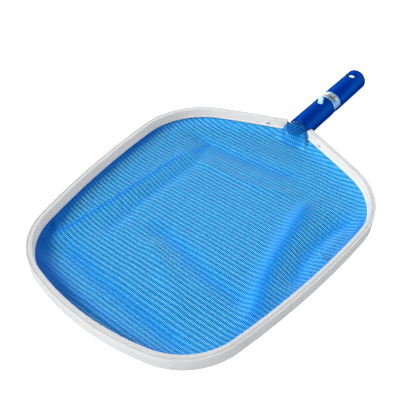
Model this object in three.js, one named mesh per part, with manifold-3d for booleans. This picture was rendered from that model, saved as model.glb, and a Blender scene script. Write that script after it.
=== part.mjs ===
// Leaf skimmer net for a pool: a bent white hoop that carries a shallow net, on a hollow blue
// handle that plugs into a telescopic pole and is held there by a sprung clip with two buttons.
//
// Millimetres, +Z up. The handle runs along +Y and the hoop lies level. The origin is the middle
// of the base of the whole object's bounding box. Inside the model everything is placed from the
// hoop: its underside is z = 0, its middle is y = 0, and the part is mirror-symmetric about x = 0.

import * as THREE from 'three';
import { mergeVertices } from 'three/addons/utils/BufferGeometryUtils.js';
import Module from 'manifold-3d';

const wasm = await Module();
wasm.setup();

// ---------------------------------------------------------------- driving dimensions

const GAP = 0.32; // clearance between pieces that touch on the real object

// Hoop: the outer line of one half, from the middle of the front edge round to the cut end
// beside the handle, as arcs that run on from each other without a corner.
const HOOP_FRONT_Y = -187;
const HOOP_ARCS = [
  { radius: 280, sweep: 15 }, // bowed front edge
  { radius: 77, sweep: 62.5 }, // front corner
  { radius: 960, sweep: 11 }, // long side
  { radius: 90, sweep: 67.5 }, // rear corner
  { radius: 1500, sweep: 3.3 }, // shoulder, nearly straight, up to the cut end
];
const DEGREES_PER_STATION = 6;
const LENGTH_PER_STATION = 30;

// Hoop section: u runs inwards from the outer face, v runs up from the underside.
const HOOP_WIDTH = 6.5;
const HOOP_HEIGHT = 15;
const EDGE_BREAK = 0.6;
const GROOVE = { from: 1.3, to: 2.3, depth: 1.0 };
const BEAD = { reach: 0.7, low: 3.9, high: 4.9 };
const SLOT = { from: 3.0, low: 1.2, high: 3.9 };
const CHAMBER = { from: 1.5, to: 5.2, low: 5.4, high: 12.8 };

// Net: a shallow tray whose edge sits in the hoop's slot, and a tongue of the same net that
// climbs over the nose of the yoke.
const NET_THICKNESS = 0.9;
const NET_EDGE_U = 5.9;
const NET_EDGE_V = 2.1;
const NET_REAR = { halfWidth: 8, y: 163.6 };
const NET_CENTRE_Y = -8;
const NET_TRAY = [
  { scale: 1, drop: 0 },
  { scale: 0.975, drop: 1.2 },
  { scale: 0.93, drop: 5 },
  { scale: 0.86, drop: 7.6 },
  { scale: 0.74, drop: 8.6 },
  { scale: 0.4, drop: 9 },
];
const TONGUE = { thickness: 0.6, halfAngle: 60, startAngle: 25 };
const SPLINE_RADIUS = 1.05;

// Handle: a tube that fits inside a standard pole, with the axis level with the hoop's middle.
const AXIS_Z = 7.5;
const TUBE = { from: 178.5, to: 326.6, radius: 14.25, bore: 11.85, chamfer: 0.8 };
const HANGING_HOLE = { y: 309.2, radius: 4.2 };
const NOTCH = { depth: 3.4, halfHeight: 3.9 };

// Yoke: nose, spigot in the tube and two arms in the hoop's chamber.
const NOSE = { from: 164.5, length: 10.5, radius: 12.6 };
const SPIGOT = { to: 190, radius: 11.5 };
const KNUCKLE = { halfWidth: 14.3, from: 168.5 };
const ARM = { thickness: 3, height: 6.8, inside: 44, outside: 2.6 };
const ARM_V = (CHAMBER.low + CHAMBER.high) / 2;

// Rivets, one through each end of the hoop and the arm inside it.
const RIVET = { fromEnd: 24, shank: 1.55, hole: 1.9, head: 2.3, headHeight: 0.8, v: 8.6 };

// Sprung clip inside the tube, with a button above and one below.
const BUTTON = { y: 227.5, radius: 3.2, hole: 3.55, stand: 7, crown: 0.9 };
const PAD = { size: 9, top: 10.5, thickness: 1.6 };
const CLIP = { width: 9, bendY: 197, outer: 3.4, inner: 2.0, leg: 1.4 };

// Label round the top of the tube, in a shallow recess.
const LABEL = { from: 242, to: 256.5, inner: 14.1, outer: 14.35, halfAngle: 84 };
const LABEL_RECESS = 13.8;

const BOX_MIDDLE_Y = (HOOP_FRONT_Y + TUBE.to) / 2;
const BOX_BASE_Z = AXIS_Z - TUBE.radius - BUTTON.stand;

// ---------------------------------------------------------------- materials

const material = (color, roughness, metalness = 0) =>
  new THREE.MeshStandardMaterial({ color, roughness, metalness });

const hoopWhite = () => material(0xe4e8ea, 0.35);
const splineWhite = () => material(0xeef1f2, 0.5);
const netBlue = () => material(0x3f9ae0, 0.8);
const handleBlue = () => material(0x0a2fa0, 0.35);
const yokeBlue = () => material(0x0b2c86, 0.45);
const clipWhite = () => material(0xbfe2f0, 0.4);
const rivetGrey = () => material(0x8b8f93, 0.35, 0.9);
const labelSilver = () => material(0x9cc3d6, 0.3, 0.6);

// ---------------------------------------------------------------- solids

// Merges the shared corners of a geometry and turns it the right way out.
function closed(geometry) {
  const plain = geometry.clone();
  plain.deleteAttribute('normal');
  plain.deleteAttribute('uv');
  const merged = mergeVertices(plain);
  const p = merged.attributes.position;
  const index = merged.index.array;
  const corner = (i) => new THREE.Vector3().fromBufferAttribute(p, index[i]);
  let volume = 0;
  for (let i = 0; i < index.length; i += 3) {
    volume += corner(i).dot(corner(i + 1).cross(corner(i + 2)));
  }
  if (volume < 0) {
    for (let i = 0; i < index.length; i += 3) {
      [index[i], index[i + 1]] = [index[i + 1], index[i]];
    }
  }
  return merged;
}

function solid(geometry) {
  const mesh = closed(geometry);
  return new wasm.Manifold(new wasm.Mesh({
    numProp: 3,
    vertProperties: new Float32Array(mesh.attributes.position.array),
    triVerts: new Uint32Array(mesh.index.array),
  }));
}

function geometryOf(manifold) {
  const mesh = manifold.getMesh();
  const geometry = new THREE.BufferGeometry();
  geometry.setAttribute('position', new THREE.BufferAttribute(mesh.vertProperties, 3));
  geometry.setIndex(new THREE.BufferAttribute(mesh.triVerts, 1));
  geometry.computeVertexNormals();
  return geometry;
}

const cut = (body, ...tools) =>
  geometryOf(tools.reduce((rest, tool) => rest.subtract(solid(tool)), solid(body)));
const join = (...bodies) =>
  geometryOf(bodies.map(solid).reduce((whole, next) => whole.add(next)));

// Carries a flat outline, with holes in it if there are any, through a row of stations and
// closes both ends. place(point, station) gives the point's position in space.
function sweep(outline, stations, place, holes = []) {
  const wound = (loop, clockwise) =>
    (THREE.ShapeUtils.isClockWise(loop) === clockwise ? loop : [...loop].reverse());
  const loops = [wound(outline, false), ...holes.map((hole) => wound(hole, true))];
  const ringSize = loops.reduce((sum, loop) => sum + loop.length, 0);
  const positions = stations.flatMap((station) =>
    loops.flat().flatMap((point) => place(point, station).toArray()));

  const faces = [];
  for (let ring = 0; ring < stations.length - 1; ring++) {
    let first = ring * ringSize;
    for (const loop of loops) {
      for (let i = 0; i < loop.length; i++) {
        const a = first + i;
        const b = first + ((i + 1) % loop.length);
        faces.push(a, b, b + ringSize, a, b + ringSize, a + ringSize);
      }
      first += loop.length;
    }
  }
  const last = (stations.length - 1) * ringSize;
  for (const [a, b, c] of THREE.ShapeUtils.triangulateShape(loops[0], loops.slice(1))) {
    faces.push(c, b, a, last + a, last + b, last + c);
  }

  const geometry = new THREE.BufferGeometry();
  geometry.setAttribute('position', new THREE.Float32BufferAttribute(positions, 3));
  geometry.setIndex(faces);
  geometry.computeVertexNormals();
  return closed(geometry);
}

const point = (x, y) => new THREE.Vector2(x, y);
const cylinder = (radius, length) => new THREE.CylinderGeometry(radius, radius, length, 24);
const uprightCylinder = (radius, length, x, y, z) =>
  cylinder(radius, length).rotateX(Math.PI / 2).translate(x, y, z);
const box = (from, to) => new THREE.BoxGeometry(to[0] - from[0], to[1] - from[1], to[2] - from[2])
  .translate((from[0] + to[0]) / 2, (from[1] + to[1]) / 2, (from[2] + to[2]) / 2);

// Turns a shape drawn in the Y-Z plane into a bar of the given width across X.
function acrossX(shape, width) {
  const geometry = new THREE.ExtrudeGeometry(shape, {
    depth: width, bevelEnabled: false, curveSegments: 10,
  });
  geometry.applyMatrix4(new THREE.Matrix4().makeBasis(
    new THREE.Vector3(0, 1, 0), new THREE.Vector3(0, 0, 1), new THREE.Vector3(1, 0, 0)));
  return closed(geometry.translate(-width / 2, 0, 0));
}

// ---------------------------------------------------------------- the hoop's line

// Stations along one half: position, heading (0 is +X) and distance from the front's middle.
function halfHoop() {
  const stations = [{ x: 0, y: HOOP_FRONT_Y, heading: 0, along: 0 }];
  for (const { radius, sweep: degrees } of HOOP_ARCS) {
    const angle = THREE.MathUtils.degToRad(degrees);
    const steps = Math.ceil(Math.max(
      degrees / DEGREES_PER_STATION, (radius * angle) / LENGTH_PER_STATION));
    const turn = angle / steps;
    for (let i = 0; i < steps; i++) {
      const { x, y, heading, along } = stations.at(-1);
      const next = heading + turn;
      stations.push({
        x: x + radius * (Math.sin(next) - Math.sin(heading)),
        y: y - radius * (Math.cos(next) - Math.cos(heading)),
        heading: next,
        along: along + radius * turn,
      });
    }
  }
  return stations;
}

const mirrored = ({ x, y, heading, along }) =>
  ({ x: -x, y, heading: -heading, along: -along });

const rightHalf = halfHoop();
const hoopLine = [...rightHalf.slice(1).reverse().map(mirrored), ...rightHalf];

// A point u inwards from the hoop's outer face and v above its underside.
function onHoop({ x: u, y: v }, { x, y, heading }) {
  return new THREE.Vector3(x - u * Math.sin(heading), y + u * Math.cos(heading), v);
}

// The station at a distance back from the right-hand cut end, along the shoulder.
function onShoulder(fromEnd) {
  const end = rightHalf.at(-1);
  const { radius } = HOOP_ARCS.at(-1);
  const heading = end.heading - fromEnd / radius;
  return {
    x: end.x - radius * (Math.sin(end.heading) - Math.sin(heading)),
    y: end.y + radius * (Math.cos(end.heading) - Math.cos(heading)),
    heading,
  };
}

const rivetStation = onShoulder(RIVET.fromEnd);

// Places a geometry made along +Y so that +Y runs inwards through the hoop at a station.
function throughHoop(geometry, station, v) {
  const at = onHoop(point(0, v), station);
  return geometry.rotateZ(station.heading).translate(at.x, at.y, at.z);
}

// ---------------------------------------------------------------- hoop, spline and net

function makeHoop() {
  const W = HOOP_WIDTH;
  const H = HOOP_HEIGHT;
  const outline = [
    point(EDGE_BREAK, 0), point(W, 0), point(W, SLOT.low), point(SLOT.from, SLOT.low),
    point(SLOT.from, SLOT.high), point(W + BEAD.reach, BEAD.low),
    point(W + BEAD.reach, BEAD.high), point(W, BEAD.high + BEAD.reach),
    point(W, H - EDGE_BREAK), point(W - EDGE_BREAK, H),
    point(GROOVE.to, H), point(GROOVE.to, H - GROOVE.depth),
    point(GROOVE.from, H - GROOVE.depth), point(GROOVE.from, H),
    point(EDGE_BREAK / 2, H), point(0, H - EDGE_BREAK / 2), point(0, EDGE_BREAK),
  ];
  const chamber = [
    point(CHAMBER.from, CHAMBER.low), point(CHAMBER.to, CHAMBER.low),
    point(CHAMBER.to, CHAMBER.high), point(CHAMBER.from, CHAMBER.high),
  ];
  const hole = (station) =>
    throughHoop(cylinder(RIVET.hole, 4 * HOOP_WIDTH), station, RIVET.v);
  return cut(
    sweep(outline, hoopLine, onHoop, [chamber]),
    hole(rivetStation), hole(mirrored(rivetStation)));
}

function makeSpline() {
  const sides = 6;
  const centre = point(SLOT.from + GAP + SPLINE_RADIUS, (SLOT.low + SLOT.high) / 2);
  const outline = Array.from({ length: sides }, (_, i) => {
    const angle = (2 * Math.PI * (i + 0.5)) / sides;
    return point(Math.cos(angle), Math.sin(angle)).multiplyScalar(SPLINE_RADIUS).add(centre);
  });
  return sweep(outline, hoopLine, onHoop);
}

// The tray goes down its upper face from the edge to the middle, and back up its lower face.
function makeNetTray() {
  const edge = hoopLine.map((station) => onHoop(point(NET_EDGE_U, 0), station));
  const rear = [point(NET_REAR.halfWidth, NET_REAR.y), point(-NET_REAR.halfWidth, NET_REAR.y)];
  const outline = [...edge, ...rear].map(({ x, y }) => point(x, y - NET_CENTRE_Y));
  const upper = NET_TRAY.map(({ scale, drop }) =>
    ({ scale, z: NET_EDGE_V + NET_THICKNESS - drop }));
  const lower = upper.map(({ scale, z }) => ({ scale, z: z - NET_THICKNESS }));
  const place = (p, { scale, z }) =>
    new THREE.Vector3(p.x * scale, NET_CENTRE_Y + p.y * scale, z);
  return sweep(outline, [...[...upper].reverse(), ...lower], place);
}

// The yoke's nose in profile, from a start angle at its tip round to its full radius, as
// (radius, y) points that stand off the surface by a clearance.
function noseProfile(startDegrees, steps, clearance = 0) {
  const start = THREE.MathUtils.degToRad(startDegrees);
  return Array.from({ length: steps + 1 }, (_, i) => {
    const angle = start + ((Math.PI / 2 - start) * i) / steps;
    const normal = point(NOSE.length * Math.sin(angle), -NOSE.radius * Math.cos(angle));
    return point(NOSE.radius * Math.sin(angle), NOSE.from + NOSE.length * (1 - Math.cos(angle)))
      .add(normal.setLength(clearance));
  });
}

// A thin sheet bent round the handle's axis, from one side over the top to the other.
// outline holds (radius, y) points.
function wrapped(outline, halfAngle, steps) {
  const stations = Array.from({ length: steps + 1 }, (_, i) =>
    THREE.MathUtils.degToRad(halfAngle * ((2 * i) / steps - 1)));
  return sweep(outline, stations, ({ x: radius, y }, angle) =>
    new THREE.Vector3(radius * Math.sin(angle), y, AXIS_Z + radius * Math.cos(angle)));
}

function makeNetTongue() {
  const layer = (clearance) => [
    ...noseProfile(TONGUE.startAngle, 6, clearance),
    point(NOSE.radius + clearance, TUBE.from - GAP),
  ];
  const outline = [...layer(GAP + TONGUE.thickness), ...layer(GAP).reverse()];
  return wrapped(outline, TONGUE.halfAngle, 14);
}

// ---------------------------------------------------------------- handle

function makeTube() {
  const { from, to, radius, bore, chamfer } = TUBE;
  const profile = [
    point(bore, from), point(radius, from),
    point(radius, LABEL.from - GAP), point(LABEL_RECESS, LABEL.from - GAP),
    point(LABEL_RECESS, LABEL.to + GAP), point(radius, LABEL.to + GAP),
    point(radius, to - chamfer), point(radius - chamfer, to), point(bore, to),
    point(bore, from),
  ];
  const tube = new THREE.LatheGeometry(profile, 48).translate(0, 0, AXIS_Z);
  const across = 3 * radius;
  const notches = box(
    [-across, from - 1, ARM_V - NOTCH.halfHeight],
    [across, from + NOTCH.depth, ARM_V + NOTCH.halfHeight]);
  return cut(
    tube,
    uprightCylinder(BUTTON.hole, across, 0, BUTTON.y, AXIS_Z),
    uprightCylinder(HANGING_HOLE.radius, across, 0, HANGING_HOLE.y, AXIS_Z),
    notches);
}

// One arm, inside the right-hand end of the hoop and out to the knuckle beside the nose.
function makeArm() {
  const middle = (CHAMBER.from + CHAMBER.to) / 2;
  const length = ARM.inside + ARM.outside;
  const bar = new THREE.BoxGeometry(length, ARM.thickness, ARM.height);
  const station = onShoulder(ARM.inside / 2);
  bar.translate(ARM.outside / 2, middle, 0);
  return throughHoop(bar, station, ARM_V);
}

function makeYoke() {
  const shoulder = TUBE.from - GAP;
  const profile = [
    ...noseProfile(0, 8), point(NOSE.radius, shoulder), point(SPIGOT.radius, shoulder),
    point(SPIGOT.radius, SPIGOT.to), point(0, SPIGOT.to),
  ];
  const body = new THREE.LatheGeometry(profile, 40).translate(0, 0, AXIS_Z);
  const knuckle = box(
    [-KNUCKLE.halfWidth, KNUCKLE.from, ARM_V - ARM.height / 2],
    [KNUCKLE.halfWidth, shoulder, ARM_V + ARM.height / 2]);
  const hole = (station) =>
    throughHoop(cylinder(RIVET.hole, 4 * HOOP_WIDTH), station, RIVET.v);
  const arm = makeArm();
  const otherArm = arm.clone().scale(-1, 1, 1);
  return cut(
    join(body, knuckle, arm, otherArm),
    hole(rivetStation), hole(mirrored(rivetStation)));
}

// A rivet through the hoop and the arm: low domed head on the inner face, flat tail outside.
function makeRivet() {
  const { shank, head, headHeight } = RIVET;
  const outerFace = -GAP;
  const innerFace = HOOP_WIDTH + GAP;
  const dome = [0.35, 0.7, 1].map((t) => {
    const angle = (Math.PI / 2) * t;
    return point(head * Math.cos(angle), innerFace + headHeight * Math.sin(angle));
  });
  const profile = [
    point(0, outerFace - 0.6), point(head, outerFace - 0.6), point(head, outerFace),
    point(shank, outerFace), point(shank, innerFace), point(head, innerFace),
    ...dome.slice(0, -1), point(0, innerFace + headHeight),
  ];
  return new THREE.LatheGeometry(profile, 20);
}

// ---------------------------------------------------------------- sprung clip

// A button as it stands above the handle's axis; the lower one is the same, turned over.
function makeButton() {
  const tip = TUBE.radius + BUTTON.stand;
  const { radius, crown } = BUTTON;
  const pin = [
    point(0, PAD.top - 1), point(radius, PAD.top - 1), point(radius, tip - crown),
    point(radius - 0.3 * crown, tip - 0.35 * crown), point(radius - crown, tip), point(0, tip),
  ];
  const pad = box(
    [-PAD.size / 2, -PAD.size / 2, PAD.top - PAD.thickness],
    [PAD.size / 2, PAD.size / 2, PAD.top]);
  return join(new THREE.LatheGeometry(pin, 24).rotateX(Math.PI / 2), pad);
}

// A leg of the clip, from the end of the bend to the edge of the button's pad.
function makeLeg() {
  const from = CLIP.bendY + GAP;
  const to = BUTTON.y - PAD.size / 2 - GAP;
  const low = CLIP.inner;
  const high = PAD.top - PAD.thickness;
  const shape = new THREE.Shape([
    point(from, low), point(to, high), point(to, high + CLIP.leg), point(from, low + CLIP.leg),
  ]);
  return acrossX(shape, CLIP.width);
}

function makeBend() {
  const shape = new THREE.Shape();
  shape.absarc(CLIP.bendY, 0, CLIP.outer, Math.PI / 2, 1.5 * Math.PI, false);
  shape.absarc(CLIP.bendY, 0, CLIP.inner, 1.5 * Math.PI, Math.PI / 2, true);
  return acrossX(shape, CLIP.width);
}

function makeLabel() {
  const { from, to, inner, outer, halfAngle } = LABEL;
  const outline = [point(inner, from), point(outer, from), point(outer, to), point(inner, to)];
  return wrapped(outline, halfAngle, 24);
}

// ---------------------------------------------------------------- assembly

function piece(name, geometry, finish) {
  const mesh = new THREE.Mesh(geometry, finish);
  mesh.name = name;
  return mesh;
}

const head = new THREE.Group();
head.add(
  piece('frame_hoop', makeHoop(), hoopWhite()),
  piece('net_spline', makeSpline(), splineWhite()),
  piece('net_mesh', makeNetTray(), netBlue()),
  piece('net_tongue', makeNetTongue(), netBlue()),
);

for (const [name, station] of [
  ['rivet_right', rivetStation], ['rivet_left', mirrored(rivetStation)],
]) {
  const rivet = piece(name, closed(makeRivet()), rivetGrey());
  rivet.position.copy(onHoop(point(0, RIVET.v), station));
  rivet.rotation.z = station.heading;
  head.add(rivet);
}

const handle = new THREE.Group();
handle.add(
  piece('yoke', makeYoke(), yokeBlue()),
  piece('handle_tube', makeTube(), handleBlue()),
  piece('label_sticker', makeLabel(), labelSilver()),
);

const clip = new THREE.Group();
clip.position.z = AXIS_Z;
clip.add(piece('clip_bend', makeBend(), clipWhite()));
for (const [side, turn] of [['top', 0], ['bottom', Math.PI]]) {
  const button = piece(`snap_button_${side}`, makeButton(), clipWhite());
  button.position.y = BUTTON.y;
  button.rotation.y = turn;
  const leg = piece(`clip_leg_${side}`, makeLeg(), clipWhite());
  leg.rotation.y = turn;
  clip.add(button, leg);
}

const skimmer = new THREE.Group();
skimmer.add(head, handle, clip);
skimmer.position.set(0, -BOX_MIDDLE_Y, -BOX_BASE_Z);

export default skimmer;
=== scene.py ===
"""Pool leaf skimmer net, dressed round its CAD frame.

Everything is placed in hoop coordinates: millimetres, x across, y towards the handle's end and
z up, with the hoop's underside at z = 0 and its middle at x = y = 0.
"""

import math

import bmesh
import bpy
import numpy as np
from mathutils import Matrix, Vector, geometry, noise


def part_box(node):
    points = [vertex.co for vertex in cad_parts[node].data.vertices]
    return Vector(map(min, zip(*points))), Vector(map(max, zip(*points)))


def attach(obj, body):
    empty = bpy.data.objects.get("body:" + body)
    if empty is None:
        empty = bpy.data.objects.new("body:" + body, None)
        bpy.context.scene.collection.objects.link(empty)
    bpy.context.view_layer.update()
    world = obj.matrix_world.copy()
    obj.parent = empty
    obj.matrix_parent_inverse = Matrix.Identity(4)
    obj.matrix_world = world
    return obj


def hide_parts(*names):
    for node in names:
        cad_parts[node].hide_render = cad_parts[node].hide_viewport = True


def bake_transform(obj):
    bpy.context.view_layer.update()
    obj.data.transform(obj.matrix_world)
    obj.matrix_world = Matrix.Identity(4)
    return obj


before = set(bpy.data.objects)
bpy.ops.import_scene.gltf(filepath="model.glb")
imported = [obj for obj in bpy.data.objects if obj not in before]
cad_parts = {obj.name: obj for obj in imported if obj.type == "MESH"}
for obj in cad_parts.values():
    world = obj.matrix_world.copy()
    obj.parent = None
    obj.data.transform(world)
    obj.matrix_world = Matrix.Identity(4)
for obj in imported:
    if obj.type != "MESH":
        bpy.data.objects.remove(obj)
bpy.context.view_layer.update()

# ---------------------------------------------------------------- where things are

MM = 0.001
SKIMMER = "skimmer"

HOOP_FRONT_Y = -187.0
hoop_low, hoop_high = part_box("frame_hoop")
ORIGIN = Vector((0, hoop_low.y - HOOP_FRONT_Y * MM, hoop_low.z))


def to_row(point):
    """Hoop coordinates in millimetres to the row frame in metres."""
    return ORIGIN + Vector(point) * MM


def box_mm(node):
    """A CAD node's corners in hoop coordinates."""
    return [(corner - ORIGIN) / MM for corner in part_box(node)]


# The hoop's outer line, half of it: (radius, sweep in degrees) from the middle of the front.
HOOP_ARCS = ((280, 15), (77, 62.5), (960, 11), (90, 67.5), (1500, 3.3))
SLOT_LOW, SLOT_HIGH = 1.2, 3.9
HOOP_HEIGHT = (hoop_high.z - hoop_low.z) / MM

# The middle of the hoop's hollow: in from its outer face, and above its underside.
CHAMBER_U, CHAMBER_MIDDLE = 3.35, 9.1

tube_low, tube_high = box_mm("handle_tube")
TUBE_FROM, TUBE_TO = tube_low.y, tube_high.y
TUBE_RADIUS = (tube_high.x - tube_low.x) / 2
BORE_RADIUS = 11.85
AXIS_Z = (tube_low.z + tube_high.z) / 2
BUTTON_Y = sum(corner.y for corner in box_mm("snap_button_top")) / 2

# The yoke: its rounded nose, the knuckle behind it, and half the height of its arms.
NOSE_TIP_Y, NOSE_LENGTH, NOSE_RADIUS = 164.5, 10.5, 12.6
KNUCKLE_HALF, KNUCKLE_FROM = 14.3, 168.5
ARM_HALF = 3.4

# ---------------------------------------------------------------- mesh tools


def make_mesh(name, points, faces, smooth_below=40):
    """A mesh object from points in hoop coordinates, smooth below an angle in degrees."""
    mesh = bpy.data.meshes.new(name)
    mesh.from_pydata([to_row(p) for p in points], [], faces)
    mesh.update()
    finish_mesh(mesh, smooth_below)
    piece = bpy.data.objects.new(name, mesh)
    bpy.context.collection.objects.link(piece)
    return piece


def finish_mesh(mesh, smooth_below):
    """Turns the faces outwards and shades them smooth up to an angle."""
    cleaner = bmesh.new()
    cleaner.from_mesh(mesh)
    bmesh.ops.recalc_face_normals(cleaner, faces=cleaner.faces)
    cleaner.to_mesh(mesh)
    cleaner.free()
    mesh.polygons.foreach_set("use_smooth", [True] * len(mesh.polygons))
    mesh.set_sharp_from_angle(angle=math.radians(smooth_below))


def dress(piece, body, slot, material, *nodes):
    """Gives a piece its body and its finish, and hides the CAD nodes that it stands for."""
    piece.data.materials.clear()
    piece.data.materials.append(material)
    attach(piece, body)
    if nodes:
        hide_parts(*nodes)
    return piece


def apply_modifiers(piece):
    """Bakes a piece's modifiers into its mesh."""
    evaluated = piece.evaluated_get(bpy.context.evaluated_depsgraph_get())
    mesh = bpy.data.meshes.new_from_object(evaluated)
    piece.modifiers.clear()
    piece.data = mesh


FILLET_SHARE = 0.45


def fillet(corners, steps=4):
    """Rounds a closed outline's corners, each given as (x, y, radius).

    A corner takes no more than its share of the shorter side beside it.
    """
    outline = []
    for i, (x, y, radius) in enumerate(corners):
        here = Vector((x, y))
        before = Vector(corners[i - 1][:2]) - here
        after = Vector(corners[(i + 1) % len(corners)][:2]) - here
        half = before.angle(after) / 2
        longest = FILLET_SHARE * min(before.length, after.length)
        reach = min(radius / math.tan(half), longest)
        start = here + before.normalized() * reach
        end = here + after.normalized() * reach
        for step in range(steps + 1):
            t = step / steps
            outline.append(start.lerp(here, t).lerp(here.lerp(end, t), t))
    return outline


def sweep(loops, stations, place):
    """Carries closed outlines, the outer one first, through stations and caps both ends."""
    size = sum(len(loop) for loop in loops)
    points = [place(p, station) for station in stations for loop in loops for p in loop]
    faces = []
    for ring in range(len(stations) - 1):
        first = ring * size
        for loop in loops:
            for i in range(len(loop)):
                a, b = first + i, first + (i + 1) % len(loop)
                faces.append((a, b, b + size, a + size))
            first += len(loop)
    flat = [[Vector((p[0], p[1], 0)) for p in loop] for loop in loops]
    cap = geometry.tessellate_polygon(flat)
    last = (len(stations) - 1) * size
    faces += [tuple(face) for face in cap]
    faces += [tuple(last + i for i in face) for face in cap]
    return points, faces


def lathe(profile, axis_point, axis, segments=96):
    """Turns (radius, height) points round an axis; the ends close where the radius is 0."""
    axis = Vector(axis)
    side = axis.orthogonal().normalized()
    other = axis.cross(side)
    points, rings, faces = [], [], []
    for radius, height in profile:
        centre = Vector(axis_point) + axis * height
        if radius < 1e-6:
            rings.append([len(points)])
            points.append(centre)
            continue
        rings.append(range(len(points), len(points) + segments))
        for k in range(segments):
            angle = 2 * math.pi * k / segments
            points.append(centre + (side * math.cos(angle) + other * math.sin(angle)) * radius)
    pairs = list(zip(rings, rings[1:]))
    if profile[0][0] > 0 and profile[-1][0] > 0:
        pairs.append((rings[-1], rings[0]))
    for low, high in pairs:
        for k in range(segments):
            n = (k + 1) % segments
            if len(low) == 1:
                faces.append((low[0], high[n], high[k]))
            elif len(high) == 1:
                faces.append((low[k], low[n], high[0]))
            else:
                faces.append((low[k], low[n], high[n], high[k]))
    return points, faces


def box_mesh(low, high):
    """Points and faces of a plain block, for joining and cutting."""
    points = [(x, y, z) for x in (low[0], high[0]) for y in (low[1], high[1])
              for z in (low[2], high[2])]
    faces = [(0, 1, 3, 2), (4, 6, 7, 5), (0, 4, 5, 1), (2, 3, 7, 6), (0, 2, 6, 4), (1, 5, 7, 3)]
    return points, faces


def combine(name, base, joined=(), removed=()):
    """One mesh object: a base shape with others joined to it and others cut from it."""
    piece = make_mesh(name, *base)
    tools = []
    for operation, shapes in (("UNION", joined), ("DIFFERENCE", removed)):
        for shape in shapes:
            tool = make_mesh("tool", *shape)
            modifier = piece.modifiers.new(operation, "BOOLEAN")
            modifier.operation, modifier.object, modifier.solver = operation, tool, "EXACT"
            tools.append(tool)
    apply_modifiers(piece)
    for tool in tools:
        bpy.data.objects.remove(tool)
    return piece


def soften(piece, voxel, rounds):
    """Melts a piece's edges a little, as a moulding's are."""
    remesh = piece.modifiers.new("remesh", "REMESH")
    remesh.mode, remesh.voxel_size = "VOXEL", voxel * MM
    smooth = piece.modifiers.new("smooth", "SMOOTH")
    smooth.factor, smooth.iterations = 0.5, rounds
    apply_modifiers(piece)
    finish_mesh(piece.data, 180)


# ---------------------------------------------------------------- material tools

NOISE_LOW, NOISE_HIGH = 0.3, 0.7


class Recipe:
    """Builds one material, or the world, from nodes."""

    def __init__(self, name, owners=bpy.data.materials):
        self.material = owners.new(name)
        self.material.use_nodes = True
        self.tree = self.material.node_tree
        self.tree.nodes.clear()

    def node(self, kind, inputs=None, **settings):
        """Adds a node, sets or links its inputs by name or number, and returns its outputs."""
        made = self.tree.nodes.new("ShaderNode" + kind)
        for key, value in settings.items():
            setattr(made, key, value)
        for key, value in (inputs or {}).items():
            if isinstance(value, bpy.types.NodeSocket):
                self.tree.links.new(value, made.inputs[key])
            else:
                made.inputs[key].default_value = value
        return made.outputs

    def math(self, operation, *values, clamp=False):
        return self.node("Math", dict(enumerate(values)), operation=operation, use_clamp=clamp)[0]

    def scaled(self, vector, by):
        return self.node("VectorMath", {0: vector, 1: by}, operation="MULTIPLY")[0]

    def range(self, value, low, high, to_low=0.0, to_high=1.0, smooth=False):
        return self.node(
            "MapRange", {0: value, 1: low, 2: high, 3: to_low, 4: to_high},
            interpolation_type="SMOOTHSTEP" if smooth else "LINEAR")[0]

    def noise(self, vector, scale, detail=3.0, roughness=0.5):
        return self.node("TexNoise", {
            "Vector": vector, "Scale": scale, "Detail": detail, "Roughness": roughness})[0]

    def spread(self, noise, to_low=0.0, to_high=1.0):
        """Stretches the span that noise mostly keeps to over another one."""
        return self.range(noise, NOISE_LOW, NOISE_HIGH, to_low, to_high)

    def mix(self, factor, first, second):
        return self.node("Mix", {0: factor, 6: first, 7: second}, data_type="RGBA")[2]

    def bump(self, height, distance, strength=1.0):
        return self.node("Bump", {
            "Height": height, "Distance": distance, "Strength": strength})[0]

    def here(self):
        """Place in the row frame, in millimetres, because pieces sit at the origin."""
        return self.scaled(self.node("TexCoord")["Object"], (1000, 1000, 1000))

    def principled(self, **inputs):
        names = {key.replace("_", " "): value for key, value in inputs.items()}
        return self.node("BsdfPrincipled", names)[0]

    def done(self, shader):
        self.node("OutputMaterial", {"Surface": shader})
        return self.material


def colour(red, green, blue):
    return (red, green, blue, 1.0)


def powder_coat():
    """Satin white powder coat: fine orange peel, faint mottling and a few greyer specks."""
    r = Recipe("powder_coat")
    place = r.here()
    mottle = r.noise(place, 0.03, 4.0, 0.6)
    tone = r.spread(mottle)
    base = r.mix(tone, colour(0.52, 0.53, 0.535), colour(0.57, 0.575, 0.58))
    specks = r.range(r.noise(place, 0.9, 2.0), 0.68, 0.78)
    base = r.mix(r.math("MULTIPLY", specks, 0.10), base, colour(0.45, 0.46, 0.47))
    peel = r.noise(place, 0.55, 2.0)
    rough = r.spread(r.noise(place, 0.12, 3.0), 0.34, 0.46)
    return r.done(r.principled(
        Base_Color=base, Roughness=rough, Normal=r.bump(peel, 0.00012, 0.6),
        Specular_IOR_Level=0.35))


def cord_vinyl():
    """Soft white extruded cord with a fine grain."""
    r = Recipe("cord_vinyl")
    place = r.here()
    tone = r.spread(r.noise(place, 0.15, 3.0))
    base = r.mix(tone, colour(0.70, 0.72, 0.73), colour(0.78, 0.79, 0.80))
    return r.done(r.principled(
        Base_Color=base, Roughness=0.55, Normal=r.bump(r.noise(place, 1.2, 2.0), 0.0001)))


# The weave, in millimetres along the cloth: holes along a row, rows, and how far the threads
# wander from straight. Pulled tight over the yoke, the cloth opens between its rows as well.
HOLE_PITCH = 1.645
ROW_PITCH = 5.1
TIGHT_ROW_PITCH = ROW_PITCH / 2
WANDER_X, WANDER_Y = 0.45, 1.4


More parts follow.
